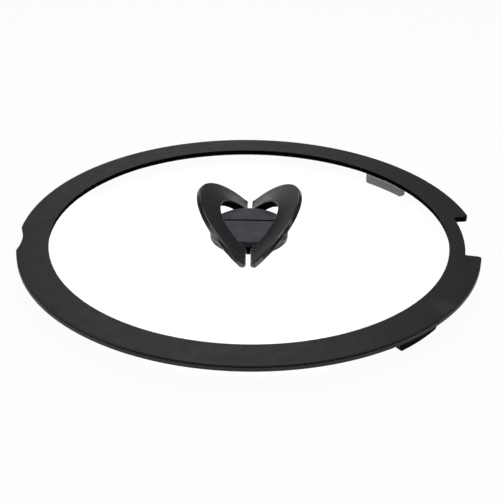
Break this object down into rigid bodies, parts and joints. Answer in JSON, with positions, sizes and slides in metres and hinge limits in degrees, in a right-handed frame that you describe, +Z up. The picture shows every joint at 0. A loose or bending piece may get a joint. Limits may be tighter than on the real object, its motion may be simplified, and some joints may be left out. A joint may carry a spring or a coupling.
{
  "type": "pan lid",
  "caption": "Flat round clear glass pan lid with a black moulded rim, a handle notch, locating tabs below and a fold-up knob whose half-round wings stand in a V.",
  "frame": {"origin": "on the lid's axis, level with the lower ends of the locating tabs", "axes": "+Z up, +X to the handle notch, Y along the hinge lines of the wings, with -Y the picture's front"},
  "size_m": [0.2518, 0.254, 0.0384],
  "materials": {
    "glass": "clear and polished",
    "rim_plastic": "fine matte",
    "carrier_plastic": "fine matte",
    "knob_plastic": "satin",
    "cap_plastic": "fine matte",
    "silicone": "soft matte",
    "washer_rubber": "soft matte",
    "steel": "brushed",
    "brass": "turned"
  },
  "bodies": {
    "lid": {"glass_disc": "glass", "rim_cover": "rim_plastic", "rim_carrier": "carrier_plastic", "glass_seal": "silicone", "screw_plate": "steel", "fixing_screw": "steel", "threaded_insert": "brass", "base_gasket": "silicone", "knob_base": "knob_plastic", "knob_cap": "cap_plastic", "left_front_washer": "washer_rubber", "left_rear_washer": "washer_rubber", "right_front_washer": "washer_rubber", "right_rear_washer": "washer_rubber"},
    "left_wing": {"left_wing": "knob_plastic", "left_front_pin": "steel", "left_rear_pin": "steel"},
    "right_wing": {"right_wing": "knob_plastic", "right_front_pin": "steel", "right_rear_pin": "steel"}
  },
  "joints": [
    {"name": "left_wing_hinge", "type": "hinge", "parent": "lid", "child": "left_wing", "pos_m": [-0.003, 0, 0.0141], "axis": [0, 1, 0], "range_deg": [-43.5, 26]},
    {"name": "right_wing_hinge", "type": "hinge", "parent": "lid", "child": "right_wing", "pos_m": [0.003, 0, 0.0141], "axis": [0, -1, 0], "range_deg": [-43.5, 26]}
  ]
}
